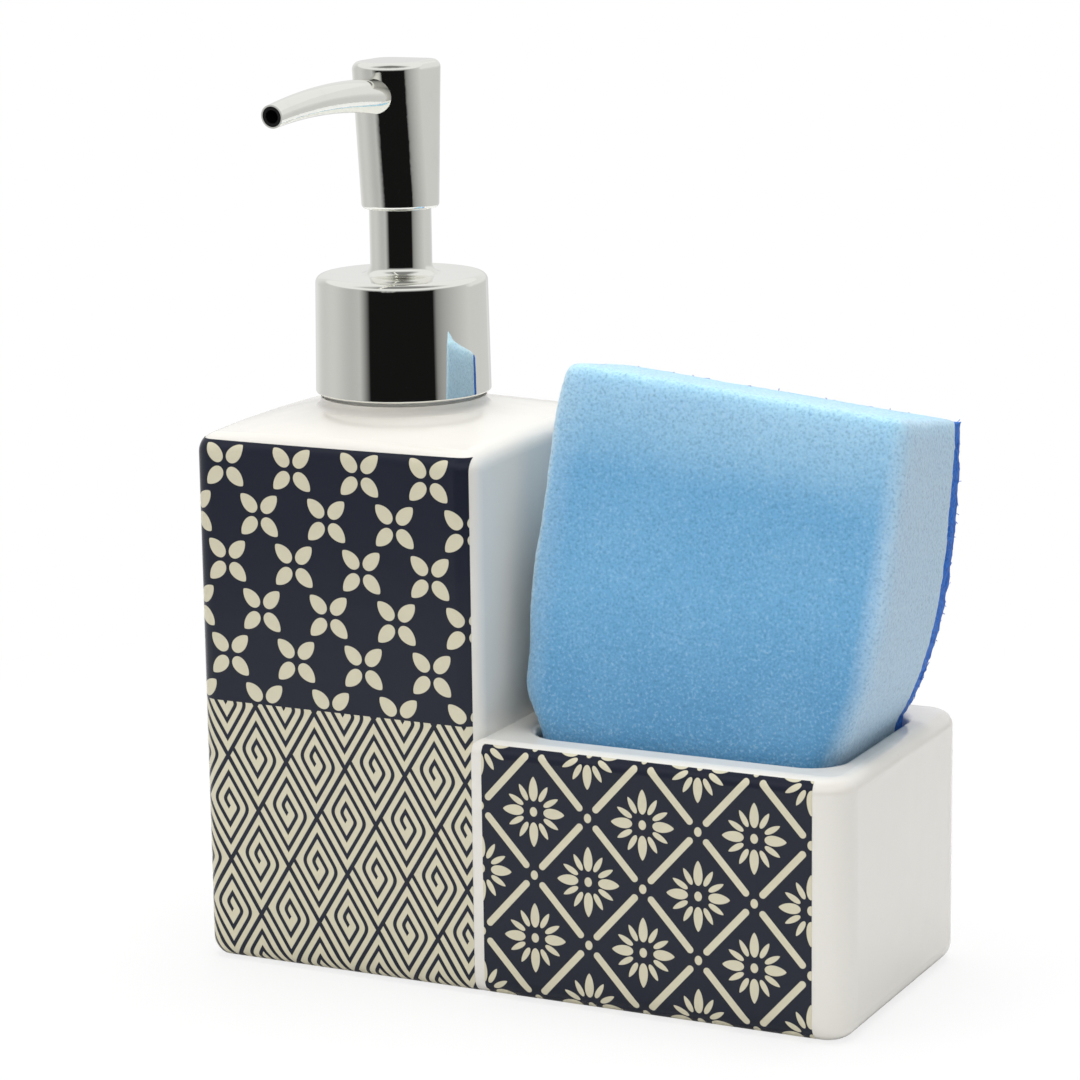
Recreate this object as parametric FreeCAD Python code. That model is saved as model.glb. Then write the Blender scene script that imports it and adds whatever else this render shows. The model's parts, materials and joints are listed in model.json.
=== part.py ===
"""Soap pump caddy: ceramic bottle with a sponge tray, screw-on lotion pump and sponge.

Millimetres, +Z up. The origin is the middle of the flat base, -Y is the decorated front and
+X is the tray's end.
"""
import FreeCAD, Part
import math
import os

V = FreeCAD.Vector

# Ceramic casting
body_width = 138.0
bottle_width = 62.0
body_depth = 62.0
bottle_height = 107.0
crown = 4.6
tray_height = 51.2
bottle_edge = 4.2
shoulder_edge = 4.0
tray_edge = 6.0
rim_edge = 3.0
base_edge = 4.0
bottle_wall = 5.0
bottle_floor = 6.0
reservoir_edge = 3.0
reservoir_shoulder = 2.7
land_radius = 16.6
land_rise = 0.6
land_fillet = 1.2
mouth_radius = 13.2
pocket_front_wall = 8.0
pocket_back_wall = 8.0
pocket_end_wall = 6.1
pocket_ledge = 6.3
pocket_floor = 8.0
pocket_corner = 7.0
pocket_floor_edge = 2.5
pocket_rim_edge = 1.4

# Fired-on transfers
transfer = 0.1
bottle_transfer_margin = 1.4
tray_transfer_left = 0.8
tray_transfer_right_margin = 6.85
transfer_foot = 0.5
transfer_split = 53.8
bottle_transfer_lap = 0.85
tray_transfer_lap = 0.6

# Clearances
running = 0.08
slack = 0.3
bond = 0.05
seat_gap = 0.12
overcut = 1.0

# Neck insert and seal
insert_flange_radius = 15.4
insert_flange = 1.2
insert_depth = 13.0
neck_radius = 12.9
neck_bore = 11.2
neck_length = 12.6
gasket_thickness = 1.2

# Pump cylinder
housing_flange_radius = 12.5
housing_flange = 1.6
cylinder_bore = 6.0
cylinder_wall = 1.6
cage_bore = 3.2
ball_radius = 2.4
ball_lift = 1.5
inlet_bore = 1.6
inlet_length = 3.2
tube_socket_depth = 6.5
tube_radius = 3.2
tube_bore = 2.3
tube_floor_gap = 3.0
tube_slant = 30.0
flange_fillet = 0.6
guide_plug = 4.8
guide_hub_radius = 7.9
guide_flange_radius = 9.8
guide_flange = 1.4

# Plunger
stem_radius = 3.0
stem_bore = 1.3
stem_foot_radius = 4.6
stem_foot = 1.5
piston_height = 6.0
piston_core = 2.1
piston_lip = 1.2
stroke = 10.5
outlet_ball_radius = 1.7
outlet_pocket = 2.1
outlet_lift = 1.0
spring_radius = 4.1
spring_wire = 0.8
spring_turns = 6
spring_room = 3.3

# Collar and press head
skirt_gap = 0.8
collar_radius = 17.5
collar_top_radius = 17.1
collar_height = 23.4
collar_wall = 0.9
collar_rim = 1.6
chimney_radius = 6.15
chimney_wall = 1.15
chimney_flare = 2.0
chimney_overlap = 3.9
edge_break = 0.4
thread_room = 1.4
liner_lift = 1.0
liner_web = 2.0
head_clearance = 0.6
head_height = 29.0
head_half_width = 7.5
head_front_reach = 3.0
head_back = 7.1
head_back_corner = 4.0
head_foot_reach = 0.2
head_foot_corner = 6.8
head_rim = 1.6
head_foot_edge = 0.8
insert_radius = 4.5
head_insert_overlap = 3.3
head_insert_flange = 0.8
head_insert_recess = 1.0

# Spout
spout_drop = 6.8
spout_reach = 49.3
spout_arch = 1.4
spout_root = 3.5
spout_tip = 2.25
spout_bore = 1.5
spout_seat = 6.0
spout_sections = 5
nozzle_radius = 1.95
nozzle_bore = 1.3
nozzle_length = 5.0

# Sponge
scourer_thickness = 5.5
sponge_room = 10.1
sponge_corner = 3.0
sponge_rim_gap = 0.4
sponge_foot_taper = 1.7
sponge_top_width = 71.3
sponge_top_shift = 2.2
sponge_swell_rise = 15.0
sponge_swell_shift = -2.2
sponge_swell_width = 70.7
sponge_top_height = 119.5
sponge_lean = 10.0
sponge_roll = 5.6

# Places that follow from the sizes above
x_left = -body_width / 2
x_right = body_width / 2
x_mid = x_left + bottle_width
y_front = -body_depth / 2
y_back = body_depth / 2
pump_x = (x_left + x_mid) / 2
land_top = bottle_height + crown + land_rise
neck_top = land_top + insert_flange + neck_length
flange_base = neck_top + gasket_thickness
flange_top = flange_base + housing_flange
guide_base = flange_top - guide_plug
web_base = flange_top + slack
web_top = web_base + liner_web
piston_top = guide_base - slack
piston_base = piston_top - piston_height
stem_base = piston_base - stem_foot
cylinder_base = stem_base - stroke - spring_room - (spring_turns + 1) * spring_wire
ball_rise = ball_radius * math.sqrt(2) - inlet_bore + seat_gap
cage_base = cylinder_base - slack - ball_lift - ball_radius - ball_rise
ball_rest = cage_base + ball_rise
tube_top = cage_base - inlet_length
socket_base = tube_top - tube_socket_depth
collar_base = land_top + skirt_gap
collar_top = collar_base + collar_height
head_base = collar_top + chimney_flare + head_clearance + stroke
head_top = head_base + head_height
chimney_top = head_base + chimney_overlap
bore_top = chimney_top + stroke + slack + head_insert_flange
stem_top = bore_top + head_insert_overlap / 2
outlet_rise = outlet_ball_radius * math.sqrt(2) - stem_bore + seat_gap
outlet_rest = stem_top - slack - outlet_lift - outlet_ball_radius
outlet_seat = outlet_rest - outlet_rise
spout_height = head_top - spout_drop
pocket_left = x_mid + pocket_ledge
pocket_right = x_right - pocket_end_wall
pocket_near = y_front + pocket_front_wall
pocket_far = y_back - pocket_back_wall
foam_thickness = pocket_far - pocket_near - sponge_rim_gap - scourer_thickness - sponge_room


def block(x0, x1, y0, y1, z0, z1):
    """Box between two corners."""
    return Part.makeBox(x1 - x0, y1 - y0, z1 - z0, V(x0, y0, z0))


def is_upright(edge):
    """True for a straight edge along Z."""
    box = edge.BoundBox
    return box.XLength < 1e-6 and box.YLength < 1e-6


def filleted(shape, radius, wanted):
    """Shape with a fillet on every edge that passes the test."""
    return shape.makeFillet(radius, [edge for edge in shape.Edges if wanted(edge)])


def profile(corners):
    """Closed outline in the XZ plane through (radius, height) corners, each with an optional rounding."""
    points = [V(corner[0], 0, corner[1]) for corner in corners]
    rounds = [corner[2] if len(corner) > 2 else 0 for corner in corners]
    edges = []
    ends = []
    for i, here in enumerate(points):
        back = (points[i - 1] - here).normalize()
        ahead = (points[(i + 1) % len(points)] - here).normalize()
        half = back.getAngle(ahead) / 2
        if rounds[i]:
            run = rounds[i] / math.tan(half)
            first, last = here + back * run, here + ahead * run
            bisector = (back + ahead).normalize()
            middle = here + bisector * (rounds[i] / math.sin(half) - rounds[i])
            edges.append(Part.Arc(first, middle, last).toShape())
            ends.append((first, last))
        else:
            ends.append((here, here))
    for i, (start, leave) in enumerate(ends):
        arrive = ends[(i + 1) % len(ends)][0]
        if (arrive - leave).Length > 1e-7:
            edges.append(Part.makeLine(leave, arrive))
    return Part.Wire(Part.__sortEdges__(edges))


def turned(corners):
    """Solid of revolution about the pump's upright axis."""
    solid = Part.Face(profile(corners)).revolve(V(0, 0, 0), V(0, 0, 1), 360)
    solid.translate(V(pump_x, 0, 0))
    return solid


def post(radius, z0, z1):
    """Upright cylinder on the pump's axis."""
    return Part.makeCylinder(radius, z1 - z0, V(pump_x, 0, z0))


def crowned_block(x0, x1, y0, y1, z0, height, upright, shoulder):
    """Rounded block whose top is a shallow pillow with straight borders."""
    patch = Part.BezierSurface()
    patch.increase(2, 2)
    for i, x in enumerate((x0, (x0 + x1) / 2, x1)):
        for j, y in enumerate((y0, (y0 + y1) / 2, y1)):
            raised = 4 * crown if i == j == 1 else 0
            patch.setPole(i + 1, j + 1, V(x, y, height + raised))
    under = patch.toShape().extrude(V(0, 0, -2 * (height - z0) - 4 * crown))
    tall = filleted(block(x0, x1, y0, y1, z0, height + 2 * crown), upright, is_upright)
    crowned = tall.common(under)
    return filleted(crowned, shoulder, lambda edge: edge.BoundBox.ZMin > height - 0.01)


def casting_form(grow):
    """Outside of the casting without its hollows, grown by the given amount."""
    bottle = crowned_block(
        x_left - grow, x_mid + grow, y_front - grow, y_back + grow, -grow,
        bottle_height + grow, bottle_edge + grow, shoulder_edge + grow)
    buried = x_mid - 2 * bottle_edge
    tray = block(buried, x_right + grow, y_front - grow, y_back + grow, -grow, tray_height + grow)
    tray = filleted(tray, tray_edge + grow, lambda edge: is_upright(edge) and edge.BoundBox.XMin > 0)
    tray = filleted(
        tray, rim_edge + grow,
        lambda edge: edge.BoundBox.ZMin > tray_height + grow - 1e-6 and edge.BoundBox.XMax > x_mid)
    form = bottle.fuse(tray).removeSplitter()
    return filleted(form, base_edge + grow, lambda edge: edge.BoundBox.ZMax < 1e-6 - grow)


def ceramic_body():
    """Bottle and tray in one casting: reservoir, mouth, neck land and sponge pocket."""
    body = casting_form(0).fuse(post(land_radius, bottle_height, land_top))
    body = filleted(body, land_fillet, is_land_foot)
    reservoir = crowned_block(
        x_left + bottle_wall, x_mid - bottle_wall, y_front + bottle_wall, y_back - bottle_wall,
        bottle_floor, bottle_height - bottle_wall, reservoir_edge, reservoir_shoulder)
    mouth = post(mouth_radius, bottle_height - bottle_wall, land_top + crown)
    body = body.cut(reservoir.fuse(mouth))
    pocket = block(pocket_left, pocket_right, pocket_near, pocket_far, pocket_floor, 2 * tray_height)
    pocket = filleted(pocket, pocket_corner, is_upright)
    pocket = filleted(pocket, pocket_floor_edge, lambda edge: edge.BoundBox.ZMax < pocket_floor + 1e-6)
    return filleted(body.cut(pocket), pocket_rim_edge, is_pocket_rim)


def is_land_foot(edge):
    """True for a piece of the curve where the neck land meets the crowned top."""
    points = edge.discretize(5)
    on_wall = all(abs(math.hypot(point.x - pump_x, point.y) - land_radius) < 1e-3 for point in points)
    return on_wall and not is_upright(edge) and edge.BoundBox.ZMax < land_top - 0.01


def is_pocket_rim(edge):
    """True for an edge of the pocket's mouth, at the height of the tray's rim."""
    box = edge.BoundBox
    level = abs(box.ZMin - tray_height) < 1e-6 and box.ZLength < 1e-6
    across = box.XMin > pocket_left - 1e-6 and box.XMax < pocket_right + 1e-6
    return level and across and box.YMin > pocket_near - 1e-6 and box.YMax < pocket_far + 1e-6


def transfer_sheet(x0, x1, depth, z0, z1):
    """Thin skin on the casting's front, between two sides and two heights."""
    window = block(x0, x1, y_front - 2 * transfer, y_front + depth, z0, z1)
    return casting_form(transfer).common(window).cut(casting_form(0))


def flower_decal():
    """Upper transfer of the bottle, laid round its left edge and over its shoulder."""
    return transfer_sheet(
        x_left - 2 * transfer, x_mid - bottle_transfer_margin, bottle_edge,
        transfer_split, bottle_height - bottle_transfer_lap)


def lozenge_decal():
    """Lower transfer of the bottle, down over the rounded foot."""
    return transfer_sheet(
        x_left - 2 * transfer, x_mid - bottle_transfer_margin, bottle_edge,
        transfer_foot, transfer_split)


def daisy_decal():
    """Transfer of the tray's front, from the foot to the rounded rim."""
    return transfer_sheet(
        x_mid + tray_transfer_left, x_right - tray_transfer_right_margin, base_edge,
        transfer_foot, tray_height - tray_transfer_lap)


def neck_insert():
    """Neck with a flange on the casting's land and a barrel bonded into the mouth."""
    barrel = mouth_radius - bond
    foot = land_top - insert_depth
    return turned([
        (neck_bore, foot), (barrel, foot), (barrel, land_top), (insert_flange_radius, land_top),
        (insert_flange_radius, land_top + insert_flange), (neck_radius, land_top + insert_flange),
        (neck_radius, neck_top), (neck_bore, neck_top)])


def gasket():
    """Flat ring between the neck's rim and the pump's flange."""
    inner = cylinder_bore + cylinder_wall + flange_fillet + slack
    return turned([
        (inner, neck_top), (housing_flange_radius, neck_top),
        (housing_flange_radius, flange_base), (inner, flange_base)])


def pump_housing():
    """Pump cylinder: flange, chamber, ball cage with its cone seat and the tube's socket."""
    outside = cylinder_bore + cylinder_wall
    cage_outside = cage_bore + cylinder_wall
    shoulder = cylinder_base - cylinder_wall
    socket = tube_radius + bond
    return turned([
        (cylinder_bore, flange_top), (housing_flange_radius, flange_top),
        (housing_flange_radius, flange_base), (outside, flange_base, flange_fillet),
        (outside, shoulder, flange_fillet), (cage_outside, shoulder, flange_fillet),
        (cage_outside, socket_base), (socket, socket_base), (socket, tube_top),
        (inlet_bore, tube_top), (inlet_bore, cage_base),
        (cage_bore, cage_base + cage_bore - inlet_bore), (cage_bore, cylinder_base),
        (cylinder_bore, cylinder_base)])


def stem_guide():
    """Plug that closes the cylinder, guides the stem and keeps the screw cap's web on the pump."""
    bore = stem_radius + running
    plug = cylinder_bore - bond
    keeper = web_top + slack
    top = keeper + guide_flange
    return turned([
        (bore, guide_base), (plug, guide_base), (plug, flange_top), (guide_hub_radius, flange_top),
        (guide_hub_radius, keeper), (guide_flange_radius, keeper), (guide_flange_radius, top, edge_break),
        (bore, top)])


def dip_tube():
    """Suction tube with a slanted foot."""
    foot = bottle_floor + tube_floor_gap
    tube = post(tube_radius, foot, tube_top).cut(post(tube_bore, foot - overcut, tube_top + overcut))
    wedge = block(-2 * tube_radius, 2 * tube_radius, -2 * tube_radius, 2 * tube_radius, -4 * tube_radius, 0)
    wedge.rotate(V(0, 0, 0), V(0, 1, 0), tube_slant)
    wedge.translate(V(pump_x, 0, foot + tube_radius * math.tan(math.radians(tube_slant))))
    return tube.cut(wedge)


def inlet_ball():
    """Ball at rest on the cage's cone seat."""
    return Part.makeSphere(ball_radius, V(pump_x, 0, ball_rest))


def outlet_ball():
    """Ball at rest on the seat in the stem's top."""
    return Part.makeSphere(outlet_ball_radius, V(pump_x, 0, outlet_rest))


def pump_stem():
    """Hollow stem: foot under the piston, core, shank and the outlet ball's pocket."""
    return turned([
        (stem_bore, stem_base), (stem_foot_radius, stem_base), (stem_foot_radius, piston_base),
        (piston_core, piston_base), (piston_core, piston_top), (stem_radius, piston_top),
        (stem_radius, stem_top), (outlet_pocket, stem_top),
        (outlet_pocket, outlet_seat + outlet_pocket - stem_bore), (stem_bore, outlet_seat)])


def piston_seal():
    """Sliding seal with a lip at each end."""
    bore = piston_core + running
    lip = cylinder_bore - running
    waist = lip - piston_lip / 2
    foot = piston_base + bond
    top = piston_top - bond
    return turned([
        (bore, foot), (lip, foot), (lip, foot + piston_lip), (waist, foot + 2 * piston_lip),
        (waist, top - 2 * piston_lip), (lip, top - piston_lip), (lip, top), (bore, top)])


def spring_line(angle, foot, rise):
    """Point and unit direction of the spring's centre line after a turn of the given angle."""
    point = V(
        pump_x + spring_radius * math.cos(angle), spring_radius * math.sin(angle),
        foot + rise * angle / (2 * math.pi))
    way = V(-math.sin(angle), math.cos(angle), rise / (2 * math.pi * spring_radius))
    return point, way.normalize()


def biarc(start, leave, end, arrive):
    """Two tangent arcs from start to end, leaving and arriving along the given unit vectors."""
    chord = end - start
    both = leave + arrive
    a = both.dot(both) - 4
    b = -2 * chord.dot(both)
    c = chord.dot(chord)
    reach = (-b - math.sqrt(b * b - 4 * a * c)) / (2 * a)
    first, second = start + leave * reach, end - arrive * reach
    joint = (first + second) / 2
    arcs = []
    for one, corner, two in ((start, first, joint), (joint, second, end)):
        middle = (one + two) / 2
        height = (corner - middle).Length
        half = (two - one).Length / 2
        sagitta = half * math.tan(math.atan2(height, half) / 2)
        arcs.append(Part.Arc(one, middle + (corner - middle) * (sagitta / height), two).toShape())
    return arcs


def return_spring():
    """Round-wire spring between the chamber's floor and the stem's foot, turn by quarter turn."""
    foot = cylinder_base + spring_wire / 2 + bond
    rise = (stem_base - bond - spring_wire / 2 - foot) / spring_turns
    quarter = math.pi / 2
    stops = [spring_line(quarter * step, foot, rise) for step in range(4 * spring_turns + 1)]
    edges = []
    for (start, leave), (end, arrive) in zip(stops, stops[1:]):
        edges += biarc(start, leave, end, arrive)
    path = Part.Wire(edges)
    section = Part.Wire(Part.makeCircle(spring_wire / 2, *stops[0]))
    points = path.discretize(40 * spring_turns + 1)
    centres = min(
        points[i].distanceToPoint(points[j])
        for i in range(len(points)) for j in range(i + 20, len(points)))
    print("return_spring least gap to itself", round(centres - spring_wire, 3))
    return path.makePipeShell([section], True, False)


def collar_shell():
    """Plated collar with a soft rim, flaring into the chimney."""
    ceiling = collar_top - collar_wall
    chimney_bore = chimney_radius - chimney_wall
    return turned([
        (collar_radius, collar_base, edge_break), (collar_top_radius, collar_top, collar_rim),
        (chimney_radius, collar_top, chimney_flare), (chimney_radius, chimney_top, edge_break),
        (chimney_bore, chimney_top), (chimney_bore, ceiling),
        (collar_top_radius - collar_wall, ceiling), (collar_radius - collar_wall, collar_base)])


def collar_liner():
    """Screw cap inside the collar: skirt round the neck, web over the pump's flange."""
    foot = collar_base + liner_lift
    ceiling = collar_top - collar_wall
    bore = neck_radius + thread_room
    web_bore = guide_hub_radius + slack
    outer_foot = collar_radius - collar_wall - slack
    outer_top = collar_top_radius - collar_wall - slack
    return turned([
        (outer_foot, foot), (outer_top, ceiling), (bore, ceiling), (bore, web_top),
        (web_bore, web_top), (web_bore, web_base), (bore, web_base), (bore, foot)])


def head_outline(height, front, back, corner):
    """Plan of the press head: round front, straight sides, rounded square back."""
    side = head_half_width
    diagonal = corner * (1 - math.sqrt(0.5))
    sides = [
        Part.Arc(V(-side, -front, height), V(0, -front - side, height), V(side, -front, height)),
        Part.LineSegment(V(side, -front, height), V(side, back - corner, height)),
        Part.Arc(V(side, back - corner, height), V(side - diagonal, back - diagonal, height),
                 V(side - corner, back, height)),
        Part.LineSegment(V(side - corner, back, height), V(corner - side, back, height)),
        Part.Arc(V(corner - side, back, height), V(diagonal - side, back - diagonal, height),
                 V(-side, back - corner, height)),
        Part.LineSegment(V(-side, back - corner, height), V(-side, -front, height))]
    wire = Part.Wire([line.toShape() for line in sides])
    wire.translate(V(pump_x, 0, 0))
    return wire


def pump_head():
    """Press head: round at the foot, drawn out to the front at the top, bored for chimney and spout."""
    foot = head_outline(head_base, head_foot_reach, head_half_width, head_foot_corner)
    top = head_outline(head_top, head_front_reach, head_back, head_back_corner)
    head = Part.makeLoft([foot, top], True, True)
    head = filleted(head, head_rim, lambda edge: edge.BoundBox.ZMin > head_top - 1e-6)
    head = filleted(head, head_foot_edge, lambda edge: edge.BoundBox.ZMax < head_base + 1e-6)
    head = head.cut(post(chimney_radius + slack, head_base - overcut, bore_top))
    head = head.cut(post(insert_radius + bond, bore_top - overcut, bore_top + head_insert_overlap))
    head = head.cut(post(spout_bore, bore_top, spout_height))
    passage = Part.makeCylinder(spout_bore, spout_seat + overcut, V(pump_x, 0, spout_height), V(0, -1, 0))
    return head.cut(passage).cut(spout_form(spout_root, spout_tip))


def head_insert():
    """Core of the head: socket for the stem, collar under the head's web."""
    foot = head_base + head_insert_recess
    top = bore_top + head_insert_overlap
    socket = stem_radius + bond
    flange = chimney_radius + slack - bond
    return turned([
        (socket, foot), (insert_radius, foot), (insert_radius, bore_top - head_insert_flange),
        (flange, bore_top - head_insert_flange), (flange, bore_top), (insert_radius, bore_top),
        (insert_radius, top), (spout_bore, top), (spout_bore, stem_top), (socket, stem_top)])


def spout_stations():
    """Centre, direction and share of the way for each section of the spout's arched line."""
    chord = spout_reach - spout_seat
    radius = (chord ** 2 / 4 + spout_arch ** 2) / (2 * spout_arch)
    half = math.asin(chord / 2 / radius)
    middle = (spout_reach + spout_seat) / 2
    for k in range(spout_sections):
        share = k / (spout_sections - 1)
        angle = half * (2 * share - 1)
        centre = V(pump_x, -middle - radius * math.sin(angle),
                   spout_height + spout_arch - radius * (1 - math.cos(angle)))
        yield centre, V(0, -math.cos(angle), -math.sin(angle)), share


def spout_form(root, tip):
    """Round solid along the spout's line, from one radius to another."""
    rings = []
    for centre, way, share in spout_stations():
        rings.append(Part.Wire(Part.makeCircle(root + (tip - root) * share, centre, way)))
    return Part.makeLoft(rings, True)


def nozzle_blank(radius):
    """Straight plug that fills the end of the spout."""
    centre, way, share = list(spout_stations())[-1]
    return Part.makeCylinder(radius, nozzle_length, centre, way * -1)


def spout():
    """Tapering spout, bored through, with a seat for the nozzle liner."""
    return spout_form(spout_root, spout_tip).cut(spout_form(spout_bore, spout_bore)).cut(
        nozzle_blank(nozzle_radius))


def nozzle_liner():
    """Dark bush in the spout's end."""
    return nozzle_blank(nozzle_radius - bond).cut(nozzle_blank(nozzle_bore))


def sponge_section(level, near, far, rounded):
    """Oblong across the sponge at a level, between two depths behind its front face."""
    x, y, z, width, corner, lean, roll = level
    right = width / 2
    front = corner if rounded else 0
    wire = profile([(-right, near, front), (right, near, front), (right, far), (-right, far)])
    wire.rotate(V(0, 0, 0), V(1, 0, 0), -90 - lean)
    wire.rotate(V(0, 0, 0), V(0, 1, 0), roll)
    wire.translate(V(x, y, z))
    return wire


def sponge_layer(near, far, rounded):
    """One layer of the sponge: squeezed in the pocket, swelling and leaning back above the rim."""
    middle = (pocket_left + pocket_right) / 2
    width = pocket_right - pocket_left - 2 * sponge_rim_gap
    corner = pocket_corner - sponge_rim_gap
    front = pocket_near + sponge_rim_gap
    slope = math.tan(math.radians(sponge_lean))
    foot = (middle, front + sponge_foot_taper, pocket_floor + slack,
            width - 2 * sponge_foot_taper, corner, 0, 0)
    rim = (middle, front, tray_height, width, corner, 0, 0)
    swell_middle = pocket_left + sponge_swell_shift + sponge_swell_width / 2
    swell = (swell_middle, front + sponge_swell_rise * slope, tray_height + sponge_swell_rise,
             sponge_swell_width, sponge_corner, sponge_lean / 2, sponge_roll / 2)
    top_middle = pocket_left + sponge_top_shift + sponge_top_width / 2
    top = (top_middle, front + (sponge_top_height - tray_height) * slope, sponge_top_height,
           sponge_top_width, sponge_corner, sponge_lean, sponge_roll)
    lower = Part.makeLoft([sponge_section(level, near, far, rounded) for level in (foot, rim)], True, True)
    upper = Part.makeLoft([sponge_section(level, near, far, rounded) for level in (rim, swell, top)], True)
    return lower.fuse(upper)


def sponge_foam():
    """Foam block at the front."""
    return sponge_layer(0, foam_thickness, True)


def scourer_pad():
    """Scouring layer on the foam's back."""
    return sponge_layer(foam_thickness + bond, foam_thickness + scourer_thickness, False)


pieces = [
    ceramic_body, flower_decal, lozenge_decal, daisy_decal, neck_insert, gasket, pump_housing, stem_guide,
    dip_tube, inlet_ball, outlet_ball, pump_stem, piston_seal, return_spring, collar_shell, collar_liner,
    pump_head, head_insert, spout, nozzle_liner, sponge_foam, scourer_pad]

os.makedirs("parts", exist_ok=True)
for piece in pieces:
    shape = piece()
    print(piece.__name__, shape.ShapeType, shape.isValid(), len(shape.Solids), round(shape.Volume, 1))
    shape.exportStep(f"parts/{piece.__name__}.step")
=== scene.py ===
# %% [markdown]
# # A soap pump caddy
# The object is a glazed ceramic bottle with an open sponge tray cast beside it. A chrome lotion
# pump screws into the bottle, and a two-layer sponge stands in the tray. The hard pieces come from
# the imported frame, exact and already in place, so this lesson is about what turns them into the
# real thing: glaze, printed transfers, plating, foam, scouring fleece and the screw threads.

# %% Load the frame
import json
import math

import bmesh
import bpy
from mathutils import Matrix, Vector


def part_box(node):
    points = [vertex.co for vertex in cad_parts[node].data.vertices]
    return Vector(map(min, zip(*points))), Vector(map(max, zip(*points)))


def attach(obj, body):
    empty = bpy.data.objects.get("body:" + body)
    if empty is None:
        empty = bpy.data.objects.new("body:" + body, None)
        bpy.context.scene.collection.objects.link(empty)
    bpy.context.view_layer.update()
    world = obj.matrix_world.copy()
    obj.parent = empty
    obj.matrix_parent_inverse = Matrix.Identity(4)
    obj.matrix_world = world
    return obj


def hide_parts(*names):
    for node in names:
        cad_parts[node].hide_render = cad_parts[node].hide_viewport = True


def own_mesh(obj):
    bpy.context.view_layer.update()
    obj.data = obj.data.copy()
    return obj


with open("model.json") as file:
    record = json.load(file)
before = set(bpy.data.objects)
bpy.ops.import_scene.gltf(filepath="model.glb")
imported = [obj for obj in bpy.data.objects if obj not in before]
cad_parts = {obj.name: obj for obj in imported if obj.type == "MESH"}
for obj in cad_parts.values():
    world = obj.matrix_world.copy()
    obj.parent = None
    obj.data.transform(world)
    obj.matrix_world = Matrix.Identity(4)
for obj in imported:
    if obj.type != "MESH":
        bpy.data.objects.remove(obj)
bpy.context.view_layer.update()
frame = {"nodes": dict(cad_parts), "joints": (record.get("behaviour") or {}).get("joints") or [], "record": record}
nodes = frame["nodes"]
scene = bpy.context.scene
scene.view_settings.view_transform = "Standard"
mm = 0.001

# %% [markdown]
# ## The camera
# The place, the angles and the long lens were worked out from the photograph's straight edges. A
# camera can be aimed with a constraint, but three angles written down are easier to check: it
# stands to the right of the front, looks a little down, and leans by less than a degree.

# %% Camera
photo_side = 1080
focal_length_px = 3717
camera_place = Vector((309.2, -645.34, 235.17)) * mm
camera_yaw = math.radians(26.19)
camera_pitch = math.radians(11.82)
camera_roll = math.radians(-0.78)

camera_data = bpy.data.cameras.new("camera")
camera_data.sensor_width = 36
camera_data.lens = camera_data.sensor_width * focal_length_px / photo_side
camera_data.clip_start = 0.01
camera_data.clip_end = 20
camera = bpy.data.objects.new("camera", camera_data)
scene.collection.objects.link(camera)
turn = Matrix.Rotation(camera_yaw, 4, "Z") @ Matrix.Rotation(math.pi / 2 - camera_pitch, 4, "X")
camera.matrix_world = Matrix.Translation(camera_place) @ turn @ Matrix.Rotation(camera_roll, 4, "Z")
scene.camera = camera
print("lens", round(camera_data.lens, 1), "mm")

# %% [markdown]
# ## Writing nodes as sums
# A shader is a sum over sockets, so it reads best as one. `Graph` adds any node by its type, and
# `Number` wraps a socket, so that `1 - mask` or `a * 2 + b` adds the Math nodes by itself. The
# same two classes write the Geometry Nodes trees further down.


# %% Graph and Number
class Graph:
    """A node tree that is being written."""

    def __init__(self, tree):
        self.tree = tree
        tree.nodes.clear()

    def add(self, kind, settings=None, sockets=None):
        """Adds a node: settings first, then a value or a link for each socket, by name or number."""
        node = self.tree.nodes.new(kind)
        for name, value in (settings or {}).items():
            setattr(node, name, value)
        for name, value in (sockets or {}).items():
            self.feed(node.inputs[name], value)
        return node

    def feed(self, socket, value):
        """Links a socket to another socket or a Number, or sets its value."""
        if isinstance(value, Number):
            value = value.socket
        if isinstance(value, bpy.types.NodeSocket):
            self.tree.links.new(value, socket)
        else:
            socket.default_value = value

    def number(self, kind, settings=None, sockets=None, output=0):
        """Adds a node and returns one of its outputs as a Number."""
        return Number(self, self.add(kind, settings, sockets).outputs[output])

    def blend(self, share, first, second):
        """Colour between two others."""
        mix = self.add("ShaderNodeMix", {"data_type": "RGBA"}, {0: share, 6: first, 7: second})
        return mix.outputs[2]


class Number:
    """A number socket. Arithmetic on it adds Math nodes."""

    def __init__(self, graph, socket):
        self.graph = graph
        self.socket = socket

    def math(self, operation, *others, clamp=False):
        node = self.graph.add("ShaderNodeMath", {"operation": operation, "use_clamp": clamp})
        for socket, value in zip(node.inputs, (self, *others)):
            self.graph.feed(socket, value)
        return Number(self.graph, node.outputs[0])

    def __add__(self, other):
        return self.math("ADD", other)

    def __sub__(self, other):
        return self.math("SUBTRACT", other)

    def __rsub__(self, other):
        return self.math("MULTIPLY_ADD", -1, other)

    def __mul__(self, other):
        return self.math("MULTIPLY", other)

    def __truediv__(self, other):
        return self.math("DIVIDE", other)

    def __pow__(self, other):
        return self.math("POWER", other)

    def __abs__(self):
        return self.math("ABSOLUTE")

    __radd__ = __add__
    __rmul__ = __mul__

    def least(self, other):
        return self.math("MINIMUM", other)

    def most(self, other):
        return self.math("MAXIMUM", other)

    def folded(self, half):
        """Distance to the nearest whole multiple of twice the half pitch."""
        return self.math("PINGPONG", half)

    def above(self, limit):
        """1 where the number is over the limit, otherwise 0."""
        return self.math("GREATER_THAN", limit)

    def ramp(self, start, end):
        """0 at start and 1 at end, held at both ends."""
        return ((self - start) * (1 / (end - start))).math("ADD", 0, clamp=True)


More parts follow.
